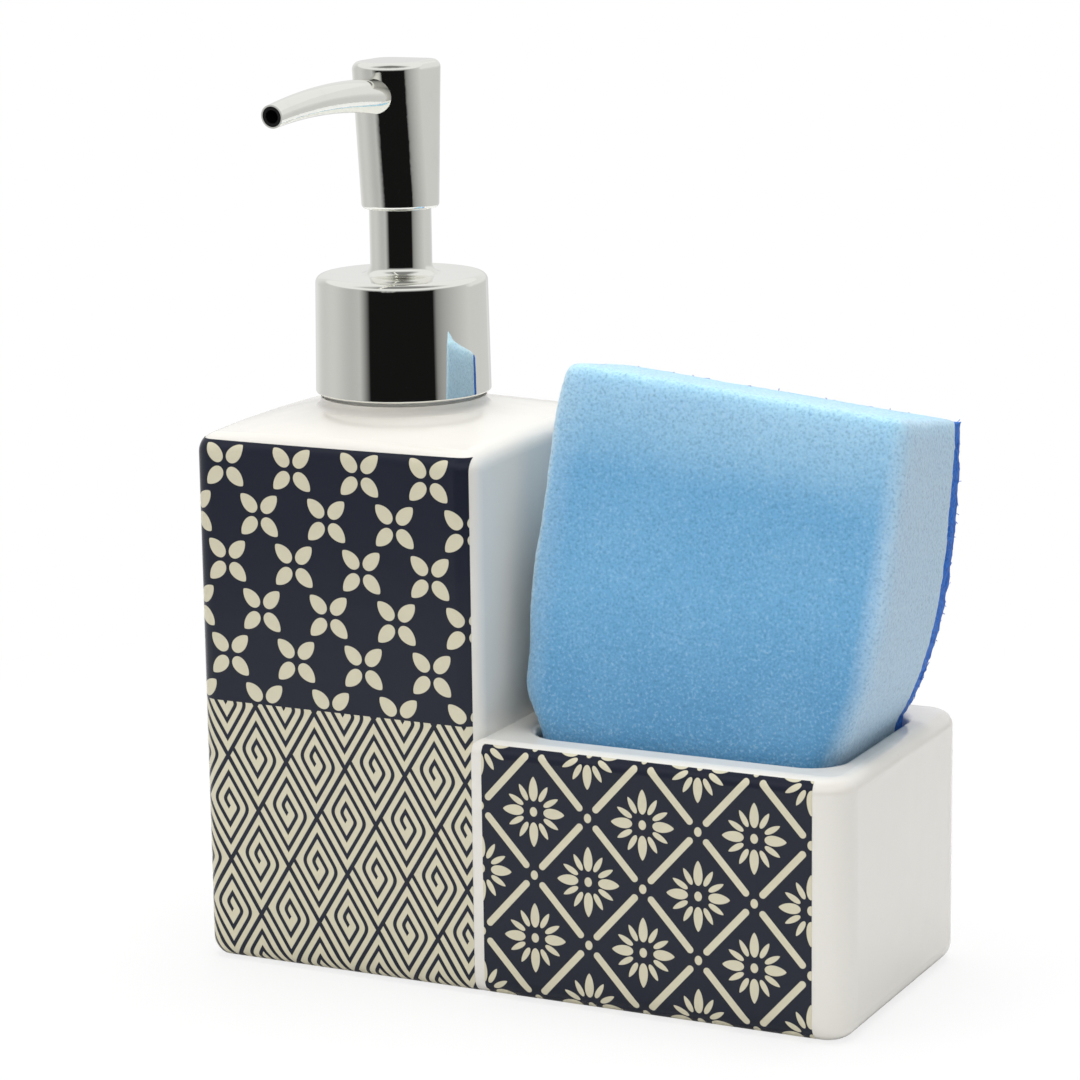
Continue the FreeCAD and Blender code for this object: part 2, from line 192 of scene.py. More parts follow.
def surface(name, **constants):
    """A new material with a Principled shader, its fixed values set on the sockets themselves."""
    material = bpy.data.materials.new(name)
    material.use_nodes = True
    graph = Graph(material.node_tree)
    labels = [key.replace("_", " ").title().replace("Ior", "IOR") for key in constants]
    shader = graph.add("ShaderNodeBsdfPrincipled", None, dict(zip(labels, constants.values())))
    graph.add("ShaderNodeOutputMaterial", None, {"Surface": shader.outputs[0]})
    return material, graph, shader


def place_of(graph):
    """Object coordinates, as a vector socket in metres and as three Numbers in millimetres."""
    vector = graph.add("ShaderNodeTexCoord").outputs["Object"]
    split = graph.add("ShaderNodeSeparateXYZ", None, {0: vector})
    return vector, *[Number(graph, output) / mm for output in split.outputs]


def noise(graph, vector, grain, detail=2.0):
    """Cloudy noise from 0 to 1 whose lumps are about one grain (in mm) across."""
    sockets = {"Vector": vector, "Scale": 1 / (grain * mm), "Detail": detail}
    return graph.number("ShaderNodeTexNoise", None, sockets)


def linear(red, green, blue):
    """Colour from 0 to 255, as a picture shows it, in the linear light that shaders use."""
    shares = [value / 255 for value in (red, green, blue)]
    return tuple(s / 12.92 if s <= 0.04045 else ((s + 0.055) / 1.055) ** 2.4 for s in shares) + (1.0,)


def dimmed(colour, share):
    """The colour at a share of its brightness."""
    return tuple(share * part for part in colour[:3]) + (1.0,)


def bumped(graph, shader, height, depth):
    """Fine relief of the given depth in mm, from a height between 0 and 1."""
    bump = graph.add("ShaderNodeBump", None, {"Distance": depth * mm, "Height": height})
    graph.feed(shader.inputs["Normal"], bump.outputs[0])


print("node helpers ready")

# %% [markdown]
# ## Stage and light
# Chrome shows the room, so the room matters more than the lamps. The set is a white sweep lit from
# above and from the left. In front, towards the camera, the room is dark: that is the black band on
# the collar. The table ends a forearm's length in front of the caddy, so the plating sees the dark
# room past its edge, while the low part of the glaze still mirrors the white table.

# %% Room
room_light = 0.43
room_dark = 0.008
room_left = (0.54, 0.74)
room_right = (0.20, 0.66)
room_behind = (0.56, 0.84)
room_above = 0.92
dark_left = (-57, -42)
dark_right = (43, 47)
far_left = (-150, -70)
far_right = (47, 100)
dark_top = (6, 28)
dark_ceiling = (40, 54)
ceiling_ends = (55, 95)
ceiling_shade = 0.75
behind_start = (0.0, 0.7)
behind_heights = (-8, 8)
right_curve = 0.6
streaks = 0.06
streak_rate = 0.11

world = bpy.data.worlds.new("room")
world.use_nodes = True
scene.world = world
room = Graph(world.node_tree)
way = room.add("ShaderNodeSeparateXYZ", None, {0: room.add("ShaderNodeTexCoord").outputs["Generated"]})
way_x, way_y, way_z = [Number(room, output) for output in way.outputs]
bearing = way_x.math("ARCTAN2", way_y * -1) * math.degrees(1) - math.degrees(camera_yaw)
height = way_z.math("ARCSINE") * math.degrees(1)


def between(share, ends):
    """Value between two ends."""
    return share * (ends[1] - ends[0]) + ends[0]


streak = (bearing * streak_rate).math("SINE") * streaks + 1
left_card = (1 - bearing.ramp(*dark_left)) * between(1 - bearing.ramp(*far_left), room_left) * streak
right_card = bearing.ramp(*dark_right) * between(bearing.ramp(*far_right) ** right_curve, room_right)
behind = way_y.ramp(*behind_start) * between(height.ramp(*behind_heights), room_behind)
ceiling = height.ramp(*dark_ceiling) * (1 - abs(bearing).ramp(*ceiling_ends)) * ceiling_shade
above = height.ramp(*dark_top) * (1 - ceiling) * room_above
mirrored = left_card.most(right_card).most(behind).most(above) + room_dark
path = room.add("ShaderNodeLightPath").outputs
seen = Number(room, path["Is Camera Ray"]).most(Number(room, path["Is Transmission Ray"]))
glossy = Number(room, path["Is Glossy Ray"])
strength = seen + (1 - seen) * (glossy * mirrored + (1 - glossy) * room_light)
background = room.add("ShaderNodeBackground", None, {"Color": (1, 1, 1, 1), "Strength": strength})
room.add("ShaderNodeOutputWorld", None, {"Surface": background.outputs[0]})
print("dark room from", dark_left[0], "to", dark_right[1], "degrees beside the camera")

# %% Table and lamps
table_reach = 0.4
table_sides = 96
table_near_glow = 0.78
table_glow_reach = (110, 300)
table_mesh = bpy.data.meshes.new("table")
table_form = bmesh.new()
bmesh.ops.create_circle(table_form, cap_ends=True, segments=table_sides, radius=table_reach)
table_form.to_mesh(table_mesh)
table_form.free()
table = bpy.data.objects.new("table", table_mesh)
scene.collection.objects.link(table)
table_white, table_graph, table_shader = surface("table_white", roughness=0.9, specular_ior_level=0.1)
table_shader.inputs["Base Color"].default_value = (0.9, 0.9, 0.9, 1)
table_path = table_graph.add("ShaderNodeLightPath")
table_glow = table_graph.add("ShaderNodeEmission", None, {"Color": (1, 1, 1, 1), "Strength": 1.0})
_, table_x, table_y, _ = place_of(table_graph)
table_far = ((table_x ** 2 + table_y ** 2) ** 0.5).ramp(*table_glow_reach)
table_seen = Number(table_graph, table_path.outputs["Is Camera Ray"])
table_share = table_seen * between(table_far, (table_near_glow, 1))
table_mix = table_graph.add(
    "ShaderNodeMixShader", None, {0: table_share, 1: table_shader.outputs[0], 2: table_glow.outputs[0]})
table_out = next(node for node in table_graph.tree.nodes if node.type == "OUTPUT_MATERIAL")
table_graph.feed(table_out.inputs["Surface"], table_mix.outputs[0])
table_mesh.materials.append(table_white)


def lamp(name, place, aim_height, size, power):
    """Soft square lamp, in metres and watts, that doesn't show as a square in the plating."""
    data = bpy.data.lights.new(name, "AREA")
    data.size = size
    data.energy = power
    thing = bpy.data.objects.new(name, data)
    thing.location = place
    thing.rotation_euler = (Vector((0, 0, aim_height)) - Vector(place)).to_track_quat("-Z", "Y").to_euler()
    thing.visible_glossy = False
    scene.collection.objects.link(thing)
    return thing


lamps = [
    lamp("key", (-0.45, -0.75, 0.75), 0.06, 0.5, 1.6),
    lamp("top", (0.0, 0.05, 0.95), 0.08, 0.7, 7.5),
    lamp("fill", (0.28, -0.88, 0.40), 0.06, 0.6, 1.0)]
print("lamps", [(thing.name, thing.data.energy) for thing in lamps])

# %% [markdown]
# ## White glaze
# The casting is slip-cast earthenware under a thick white glaze. A plain white gloss looks like
# plastic. Real glaze has a faint orange peel, grey specks, a little warmth where it thins at the
# rims, and a dry unglazed foot where the piece stood in the kiln.

# %% Glaze
glaze_white = linear(233, 230, 223)
glaze_thin = linear(226, 221, 212)
glaze_speck = linear(176, 170, 160)
biscuit = linear(214, 205, 190)
foot_height = 0.35
rim_height = 51.2
rim_band = (0.15, 1.1)
tray_start = (-7.0, -5.5)
speck_grain, speck_field = 0.9, 14
speck_share = 0.35
thin_grain, thin_share = 5, 0.6
gloss_grain = 9
glaze_rough, glaze_rough_range, foot_rough = 0.1, 0.08, 0.6
peel_grain, peel_depth = 7, 0.05
foot_grain, foot_relief = 0.5, 0.3

glaze, graph, shader = surface("white_glaze", specular_ior_level=0.5, coat_weight=0.25, coat_roughness=0.03)
vector, x, _, z = place_of(graph)
foot = 1 - z.ramp(foot_height * 0.4, foot_height)
speckled = noise(graph, vector, speck_field).ramp(0.45, 0.6)
specks = noise(graph, vector, speck_grain).ramp(0.74, 0.8) * speckled
rim = (1 - abs(z - rim_height).ramp(*rim_band)) * x.ramp(*tray_start)
thin = rim * noise(graph, vector, thin_grain).ramp(0.35, 0.75) * thin_share
colour = graph.blend(thin, glaze_white, glaze_thin)
colour = graph.blend(specks * speck_share, colour, glaze_speck)
graph.feed(shader.inputs["Base Color"], graph.blend(foot, colour, biscuit))
gloss = glaze_rough + noise(graph, vector, gloss_grain) * glaze_rough_range
graph.feed(shader.inputs["Roughness"], gloss + foot * foot_rough)
peel = noise(graph, vector, peel_grain, 1.0)
bumped(graph, shader, peel + noise(graph, vector, foot_grain) * foot * foot_relief, peel_depth)
print("glaze nodes", len(graph.tree.nodes))

# %% [markdown]
# ## Printed transfers
# The three patterns are screen-printed transfers, fired on under the gloss. Ink has no thickness
# to speak of, so the patterns are colour, not mesh, and the glaze runs over them unbroken. Each
# motif is written as an excess: how far a point lies outside the motif, in millimetres and
# negative inside. The smaller of two excesses is both motifs together, and folding a coordinate
# repeats a motif for ever.

# %% Ink
navy = linear(34, 38, 51)
cream = linear(219, 213, 188)
ink_edge = 0.09
ink_shade = 0.25
ink_dimmed = 0.8
ink_cloud, ink_grain = 11, 0.6
ink_rough, ink_rough_range = 0.13, 0.1
petal_inner_power = 0.5
petal_outer_power = 0.72


def inked(excess):
    """1 inside a motif, 0 outside, with an edge as soft as printed ink."""
    return (0.5 - excess * (1 / ink_edge)).math("ADD", 0, clamp=True)


def petal(u, v, angle, inner, outer, width):
    """Excess of a petal along a ray: round at its inner end, widest near its middle, blunter outside."""
    cosine, sine = math.cos(math.radians(angle)), math.sin(math.radians(angle))
    length = outer - inner
    along = ((u * cosine + v * sine) - inner) * (1 / length)
    aside = abs(v * cosine - u * sine)
    inside = along.math("ADD", 0, clamp=True)
    peak = petal_inner_power / (petal_inner_power + petal_outer_power)
    widest = peak ** petal_inner_power * (1 - peak) ** petal_outer_power
    outline = inside ** petal_inner_power * (1 - inside) ** petal_outer_power
    flank = aside - outline * (width / 2 / widest)
    return flank.most((abs(along - 0.5) - 0.5) * length)


def oval(u, v, half_u, half_v):
    """Excess of a small oval dot."""
    reach = ((u * (1 / half_u)) ** 2 + (v * (1 / half_v)) ** 2) ** 0.5
    return (reach - 1) * min(half_u, half_v)


def transfer(name, ground, ink, pattern):
    """Gloss transfer with a pattern of ink on its ground, both a little uneven as printed colour is."""
    material, graph, shader = surface(name, specular_ior_level=0.2)
    vector, x, _, z = place_of(graph)
    shade = noise(graph, vector, ink_cloud) * 0.5 + noise(graph, vector, ink_grain) * 0.5
    mask = inked(pattern(graph, x, z))
    plain, printed = [
        graph.blend(shade * ink_shade, tone, dimmed(tone, ink_dimmed)) for tone in (ground, ink)]
    graph.feed(shader.inputs["Base Color"], graph.blend(mask, plain, printed))
    graph.feed(shader.inputs["Roughness"], ink_rough + shade * ink_rough_range)
    bumped(graph, shader, noise(graph, vector, peel_grain, 1.0), peel_depth)
    return material


print("petal, oval and transfer ready")

# %% [markdown]
# ### Four-petal flowers
# Cream flowers stand in staggered rows on the navy upper half of the bottle. Folding both
# coordinates leaves a quarter of one cell, with a flower at two opposite corners.

# %% Flowers
flower_place = (-61.44, 101.54)
flower_half_pitch = (7.489, 9.52)
flower_petal = dict(angle=45, inner=1.0, outer=5.65, width=2.9)


def flowers(graph, x, z):
    u = (x - flower_place[0]).folded(flower_half_pitch[0])
    v = (z - flower_place[1]).folded(flower_half_pitch[1])
    other = petal(flower_half_pitch[0] - u, flower_half_pitch[1] - v, **flower_petal)
    return petal(u, v, **flower_petal).least(other)


flower_print = transfer("flower_transfer", navy, cream, flowers)
print("flower nodes", len(flower_print.node_tree.nodes))

# %% [markdown]
# ### Daisies in a lattice
# Round-ended bars cross the tray's front in a lattice, with a dot at each crossing and a daisy of
# twelve petals in each field. The folded quarter holds a daisy at two corners, a dot at the other
# two, and one bar between the dots.

# %% Daisies
daisy_place = (4.91, 38.59)
daisy_half_pitch = (11.43, 12.60)
daisy_petals = [
    dict(angle=0, inner=2.1, outer=6.5, width=2.05),
    dict(angle=30, inner=2.5, outer=6.0, width=1.15),
    dict(angle=60, inner=2.5, outer=6.0, width=1.15),
    dict(angle=90, inner=2.1, outer=6.95, width=1.85)]
daisy_eye = (0.77, 0.94)
lattice_dot = (0.75, 0.92)
bar_half_width = 0.7
bar_share = 0.78


def daisy(u, v):
    excess = oval(u, v, *daisy_eye)
    for one in daisy_petals:
        excess = excess.least(petal(u, v, **one))
    return excess


def daisies(graph, x, z):
    across, up = daisy_half_pitch
    u = (x - daisy_place[0]).folded(across)
    v = (z - daisy_place[1]).folded(up)
    length = math.hypot(across, up)
    along = (v * up - (u - across) * across) * (1 / length) - length / 2
    aside = ((u - across) * up + v * across) * (1 / length)
    past_end = (abs(along) - (length * bar_share / 2 - bar_half_width)).most(0)
    bar = (past_end ** 2 + aside ** 2) ** 0.5 - bar_half_width
    dots = oval(across - u, v, *lattice_dot).least(oval(u, up - v, *lattice_dot))
    return daisy(u, v).least(daisy(across - u, up - v)).least(bar).least(dots)


daisy_print = transfer("daisy_transfer", navy, cream, daisies)
print("daisy nodes", len(daisy_print.node_tree.nodes))

# %% [markdown]
# ### Spiral lozenges
# Leaning coordinates turn each lozenge into a square from -1 to 1, and its spiral into a square
# spiral whose lines lie a third apart. A square spiral is a set of nested squares whose left
# corner is moved over by one step, so the rings are the whole thirds of one level. A softer measure
# of the level rounds the obtuse corners of the rings. The acute ones and the border stay pointed.

# %% Lozenges
lozenge_place = (-29.55, 42.6)
lozenge_half = (6.63, 10.72)
spiral_line = 0.76
border_line = 0.86
corner_power = 7
step = 1 / 3


def lozenges(graph, x, z):
    u = (x - lozenge_place[0]) * (1 / lozenge_half[0])
    v = (z - lozenge_place[1]) * (1 / lozenge_half[1])
    unit = 1 / math.hypot(1 / lozenge_half[0], 1 / lozenge_half[1])
    rising = (u + v).math("WRAP", -1, 1)
    falling = (v - u).math("WRAP", -1, 1)
    left_turn = falling.above(0) * (1 - rising.above(step / 2))
    shifted = rising - left_turn * step
    sharp_level = abs(shifted).most(abs(falling))
    blunt = (1 - (shifted * falling).above(0)) * (1 - sharp_level.above(1 - step / 2))
    soft_level = (abs(shifted) ** corner_power + abs(falling) ** corner_power) ** (1 / corner_power)
    level = sharp_level + blunt * (soft_level - sharp_level)
    rings = (level.most(step / 2) * (1 / step)).folded(0.5) * (unit * step) - spiral_line / 2
    border = (1 - abs(rising).most(abs(falling))) * unit - border_line / 2
    return rings.least(border)


lozenge_print = transfer("lozenge_transfer", cream, navy, lozenges)
print("lozenge nodes", len(lozenge_print.node_tree.nodes))

# %% [markdown]
# ## Chrome plating
# The collar, head and spout are plastic with a mirror of chrome. Almost all of its look comes from
# the room, so the finish itself is only bright metal with a breath of haze and finger marks.

# %% Chrome
chrome_clean = linear(237, 237, 231)
chrome_marked = linear(220, 220, 214)
mark_patch, mark_grain, mark_share = 6, 1.2, 0.3
chrome_rough, chrome_rough_range = 0.025, 0.05

chrome, graph, shader = surface("chrome_plate", metallic=1.0)
vector, *_ = place_of(graph)
marks = noise(graph, vector, mark_patch).ramp(0.5, 0.8) * noise(graph, vector, mark_grain).ramp(0.3, 0.7)
graph.feed(shader.inputs["Base Color"], graph.blend(marks * mark_share, chrome_clean, chrome_marked))
graph.feed(shader.inputs["Roughness"], chrome_rough + marks * chrome_rough_range)
print("chrome nodes", len(graph.tree.nodes))

# %% [markdown]
# ## The pump's inside
# The neck, liner, cylinder and stem are moulded polypropylene, the seals are soft grey rubber, the
# dip tube is milky polythene, and the balls and the spring are stainless steel. They show when
# the pump is unscrewed and lifted out.

# %% Moulded and turned pieces
moulded_cloud = 8
moulded_dimmed = 0.82
moulded_rough_range = 0.12


def moulded(name, colour, rough, grain, relief, **constants):
    """Plain moulded or drawn material: a tint that wanders a little over a fine grain."""
    material, graph, shader = surface(name, **constants)
    vector, *_ = place_of(graph)
    cloud = noise(graph, vector, moulded_cloud) * 0.5 + noise(graph, vector, grain) * 0.5
    graph.feed(shader.inputs["Base Color"], graph.blend(cloud * 0.5, colour, dimmed(colour, moulded_dimmed)))
    graph.feed(shader.inputs["Roughness"], rough + cloud * moulded_rough_range)
    bumped(graph, shader, noise(graph, vector, grain), relief)
    return material


white_plastic = moulded("white_polypropylene", linear(236, 236, 232), 0.3, 0.35, 0.01)
milky_tube = moulded("milky_polythene", linear(226, 232, 234), 0.28, 0.5, 0.01, transmission_weight=0.35)
grey_rubber = moulded("grey_rubber", linear(120, 122, 124), 0.55, 0.2, 0.02)
black_plastic = moulded("black_liner", linear(14, 14, 15), 0.4, 0.3, 0.01, specular_ior_level=0.2)
steel = moulded("stainless_wire", linear(196, 197, 198), 0.16, 0.25, 0.003, metallic=1.0)

finishes = {
    "ceramic_body": glaze, "flower_decal": flower_print, "lozenge_decal": lozenge_print,
    "daisy_decal": daisy_print, "collar_shell": chrome, "pump_head": chrome, "spout": chrome,
    "nozzle_liner": black_plastic, "neck_insert": white_plastic, "collar_liner": white_plastic,
    "pump_housing": white_plastic, "stem_guide": white_plastic, "pump_stem": white_plastic,
    "head_insert": white_plastic, "gasket": grey_rubber, "piston_seal": grey_rubber,
    "dip_tube": milky_tube, "inlet_ball": steel, "outlet_ball": steel}
for node, material in finishes.items():
    nodes[node].data.materials.clear()
    nodes[node].data.materials.append(material)
print("finished nodes", len(finishes))

# %% [markdown]
# ## Geometry Nodes as a workshop
# Helpers set up a tree with named inputs, close it, run it on an object, and keep the result as a
# plain mesh. Inputs are set by identifier, because that is how a modifier knows them. Every tree ends
# in Realize Instances and Set Material, so that nothing of it is left behind in the plain mesh.


# %% Running a tree
def new_tree(name, inputs):
    """An empty Geometry Nodes tree with named inputs, each given by its kind of socket."""
    tree = bpy.data.node_groups.new(name, "GeometryNodeTree")
    graph = Graph(tree)
    tree.interface.new_socket("Geometry", in_out="INPUT", socket_type="NodeSocketGeometry")
    tree.interface.new_socket("Geometry", in_out="OUTPUT", socket_type="NodeSocketGeometry")
    for label, kind in inputs.items():
        tree.interface.new_socket(label, in_out="INPUT", socket_type="NodeSocket" + kind)
    return tree, graph, graph.add("NodeGroupInput").outputs


def close_tree(graph, given, geometry):
    """Ends a tree: its instances made real and its material set."""
    real = graph.add("GeometryNodeRealizeInstances", None, {"Geometry": geometry})
    coated = graph.add("GeometryNodeSetMaterial", None, {
        "Geometry": real.outputs[0], "Material": given["Material"]})
    graph.add("NodeGroupOutput", None, {0: coated.outputs[0]})


def coil(graph, given, steps, rise):
    """A helix with the tree's radius and turns."""
    return graph.add("GeometryNodeCurveSpiral", None, {
        "Resolution": steps, "Rotations": given["Turns"], "Start Radius": given["Radius"],
        "End Radius": given["Radius"], "Height": rise}).outputs[0]


def kept(thing):
    """The object with its modifiers worked into its mesh."""
    ready = bpy.context.evaluated_depsgraph_get()
    mesh = bpy.data.meshes.new_from_object(thing.evaluated_get(ready), depsgraph=ready)
    thing.modifiers.clear()
    thing.data = mesh
    return thing


def run_tree(thing, tree, values):
    """The object's mesh after the tree, as a plain mesh with no modifier left."""
    modifier = thing.modifiers.new(tree.name, "NODES")
    modifier.node_group = tree
    for item in tree.interface.items_tree:
        if item.in_out == "INPUT" and item.name in values:
            modifier[item.identifier] = values[item.name]
    return kept(thing)


def blank(name):
    """A new object with an empty mesh."""
    thing = bpy.data.objects.new(name, bpy.data.meshes.new(name))
    scene.collection.objects.link(thing)
    return thing


print("tree helpers ready")

# %% [markdown]
# ## Screw threads
# The neck carries a coarse bottle thread and the liner its partner, half a pitch away. A thread is
# one profile swept along a helix and faded out at both ends, which is a Curve to Mesh with a
# radius that follows the spline. The pitch is the one that couples the collar's turn to its rise.

# %% Thread tree
thread_tree, graph, given = new_tree("screw_thread", {
    "Radius": "Float", "Pitch": "Float", "Turns": "Float", "Root Width": "Float", "Crest Width": "Float",
    "Depth": "Float", "Facing": "Float", "Place": "Vector", "Material": "Material"})
thread_steps = 64
fade_rate = 12.0
rise = Number(graph, given["Pitch"]) * Number(graph, given["Turns"])
helix = coil(graph, given, thread_steps, rise)
level_helix = graph.add("GeometryNodeSetCurveNormal", {"mode": "Z_UP"}, {"Curve": helix})
ridge = graph.add("GeometryNodeCurvePrimitiveQuadrilateral", {"mode": "TRAPEZOID"}, {
    "Height": given["Depth"], "Bottom Width": given["Root Width"], "Top Width": given["Crest Width"],
    "Offset": 0.0})
facing = graph.add("ShaderNodeCombineXYZ", None, {2: given["Facing"]}).outputs[0]
turned = graph.add("GeometryNodeTransform", None, {
    "Geometry": ridge.outputs[0],
    "Rotation": graph.add("FunctionNodeEulerToRotation", None, {0: facing}).outputs[0]})
along = graph.number("GeometryNodeSplineParameter")
fade = (along.least(1 - along) * fade_rate).least(1.0)
swept = graph.add("GeometryNodeCurveToMesh", None, {
    "Curve": level_helix.outputs[0], "Profile Curve": turned.outputs[0], "Scale": fade, "Fill Caps": True})
moved = graph.add("GeometryNodeTransform", None, {
    "Geometry": swept.outputs[0], "Translation": given["Place"]})
close_tree(graph, given, moved.outputs[0])
print("thread tree nodes", len(thread_tree.nodes))

# %% Neck and liner threads
joint = {item["name"]: item for item in frame["joints"]}
pump_axis = Vector(joint["collar_turn"]["pos_m"])
coupling = frame["record"]["behaviour"]["couplings"][0]
thread_pitch = math.tau / coupling["ratio"]
thread_turns = 1.75
neck_radius = 12.9 * mm
liner_bore = 14.3 * mm
thread_depth = 1.0 * mm
thread_sink = 0.1 * mm
thread_below_neck = 10.4 * mm
thread_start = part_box("neck_insert")[1].z - thread_below_neck
thread_middle = thread_depth / 2 - thread_sink
thread_sizes = {
    "Pitch": thread_pitch, "Turns": thread_turns, "Root Width": 1.9 * mm, "Crest Width": 0.9 * mm,
    "Depth": thread_depth, "Material": white_plastic}
outwards, inwards = math.pi / 2, -math.pi / 2


def thread(name, body, radius, facing, start):
    """Thread ridge centred on a radius, with its crest outwards or inwards."""
    place = (pump_axis.x, pump_axis.y, start)
    piece = run_tree(blank(name), thread_tree, {
        **thread_sizes, "Radius": radius, "Facing": facing, "Place": place})
    form = bmesh.new()
    form.from_mesh(piece.data)
    bmesh.ops.recalc_face_normals(form, faces=form.faces)
    form.to_mesh(piece.data)
    form.free()
    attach(piece, body)
    return piece


neck_thread = thread("neck_thread", "caddy", neck_radius + thread_middle, outwards, thread_start)
liner_thread = thread(
    "liner_thread", "collar", liner_bore - thread_middle, inwards, thread_start - thread_pitch / 2)
for piece in (neck_thread, liner_thread):
    reach = [math.hypot(v.co.x - pump_axis.x, v.co.y - pump_axis.y) / mm for v in piece.data.vertices]
    print(piece.name, len(piece.data.polygons), "radii", round(min(reach), 2), round(max(reach), 2))

# %% [markdown]
# ## Return spring
# Pressing the head squeezes the spring. The spring is wound again as a mesh: one round wire along a
# helix, standing on the cylinder's floor, as long as the frame's spring.

# %% Spring
spring_tree, graph, given = new_tree("wire_spring", {
    "Radius": "Float", "Height": "Float", "Turns": "Float", "Wire": "Float", "Place": "Vector",
    "Material": "Material"})
spring_steps = 40
wire_sides = 12
wire = graph.add("GeometryNodeCurvePrimitiveCircle", None, {
    "Resolution": wire_sides, "Radius": Number(graph, given["Wire"]) * 0.5})
wound = graph.add("GeometryNodeCurveToMesh", None, {
    "Curve": coil(graph, given, spring_steps, given["Height"]), "Profile Curve": wire.outputs[0],
    "Fill Caps": True})
moved = graph.add("GeometryNodeTransform", None, {
    "Geometry": wound.outputs[0], "Translation": given["Place"]})
close_tree(graph, given, moved.outputs[0])

spring_low, spring_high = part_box("return_spring")
spring_wire = 0.8 * mm
spring_radius = 4.1 * mm
spring_turns = 6.0
spring_length = spring_high.z - spring_low.z
stroke = -joint["pump_stroke"]["range_m"][0]
spring = run_tree(blank("coil_spring"), spring_tree, {
    "Radius": spring_radius, "Height": spring_length - spring_wire, "Turns": spring_turns,
    "Wire": spring_wire, "Place": (pump_axis.x, pump_axis.y, spring_low.z + spring_wire / 2),
    "Material": steel})
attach(spring, "pump_unit")
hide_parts("return_spring")
(spring_length - stroke) / spring_length
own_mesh(spring)
print("spring", round(spring_length / mm, 2), "mm long, pressed", round((spring_length - stroke) / mm, 2))

# %% [markdown]
# ## Foam
# The sponge is a sawn block of fine open-cell foam, squeezed into the tray and swelling above it.
# Its solid in the frame has the form but hard edges. A voxel remesh of a copy gives an even skin of
# small faces, and smoothing rounds the sawn edges, most of all at the front. The block then settles:
# it spreads over the tray's rim and draws in a little above it. Last, a tree sinks the cells into the
# skin: foam is cut, so its cells are pits and never bumps. Light goes a few mm into the foam, which
# softens its shadows.

# %% Soft copies
foam_voxel = 0.62 * mm
foam_rounds = 26
front_rounds = 60
fleece_voxel = 0.9 * mm
fleece_rounds = 3


def smoothed(thing, rounds, group=""):
    """Adds rounds of smoothing, over the whole mesh or only a vertex group."""
    soften = thing.modifiers.new("soften", "SMOOTH")
    soften.factor = 0.5
    soften.iterations = rounds
    soften.vertex_group = group
    return thing


def soft_copy(node, name, voxel, rounds):
    """Even, rounded mesh of a soft solid, under a new name."""
    thing = blank(name)
    form = bmesh.new()
    form.from_mesh(nodes[node].data)
    bmesh.ops.remove_doubles(form, verts=form.verts, dist=1e-6)
    form.to_mesh(thing.data)
    form.free()
    skin = thing.modifiers.new("skin", "REMESH")
    skin.mode = "VOXEL"
    skin.voxel_size = voxel
    kept(smoothed(thing, rounds))
    thing.data.polygons.foreach_set("use_smooth", [True] * len(thing.data.polygons))
    return thing


foam = soft_copy("sponge_foam", "foam_block", foam_voxel, foam_rounds)
fleece = soft_copy("scourer_pad", "scouring_fleece", fleece_voxel, fleece_rounds)
print("foam faces", len(foam.data.polygons), "fleece faces", len(fleece.data.polygons))

# %% [markdown]
# ### Settling
# A wet sponge spreads where the tray's rim ends and draws in above it. That could be sculpted, but a
# small formula for each movement is easier to change. The cell works in mm, and each movement is
# strongest at one height and fades over a reach. The sponge leans back, so the plane that parts its
# front from its back is given by its y at the rim and at the top.

# %% Settling
lean_low = 51
lean_high = 119
middle_at_rim = -6
middle_at_top = 4
front_blend = 4
ledge_spread = 2.0
ledge_height = (59, 6)
drawn_in = 2.0
drawn_in_height = (96, 17)
drawn_in_right = 1.0
drawn_in_right_height = (92, 17)
rim_spread = 5.5
rim_spread_height = (50, 13)
left_reach = (24, -2)
right_reach = (40, 66)
back_reach = (-22, 8)
sponge_middle = 32


def hump(value, middle, reach):
    """1 at the middle, falling smoothly to nothing a few reaches away."""
    return math.exp(-(((value - middle) / reach) ** 2))


def share(value, start, end):
    """0 at start and 1 at end, held at both ends."""
    return min(max((value - start) / (end - start), 0), 1)


def soften_front(thing, rounds):
    """Rounds the sawn edges further in front of the leaning plane."""
    front = thing.vertex_groups.new(name="front")
    for vertex in thing.data.vertices:
        _, y, z = vertex.co / mm
        middle = middle_at_rim + (middle_at_top - middle_at_rim) * share(z, lean_low, lean_high)
        front.add([vertex.index], share(y, middle + front_blend, middle - front_blend), "REPLACE")
    kept(smoothed(thing, rounds, "front"))
    thing.vertex_groups.clear()


def settle(thing, thicker, narrower):
    """Lets the squeezed sponge spread at the tray's rim and draw in above it."""
    for vertex in thing.data.vertices:
        x, y, z = vertex.co / mm
        swell = ledge_spread * hump(z, *ledge_height) - drawn_in * hump(z, *drawn_in_height)
        leftwards = share(x, *left_reach) * swell
        rightwards = -share(x, *right_reach) * drawn_in_right * hump(z, *drawn_in_right_height)
        rightwards -= narrower * (x - sponge_middle) / sponge_middle
        backwards = share(y, *back_reach) * (rim_spread * hump(z, *rim_spread_height) + thicker)
        vertex.co += Vector((rightwards - leftwards, backwards, 0)) * mm


soften_front(foam, front_rounds)
settle(foam, thicker=1.0, narrower=0.0)
settle(fleece, thicker=0.0, narrower=0.4)
print("settled", foam.name, "and", fleece.name)

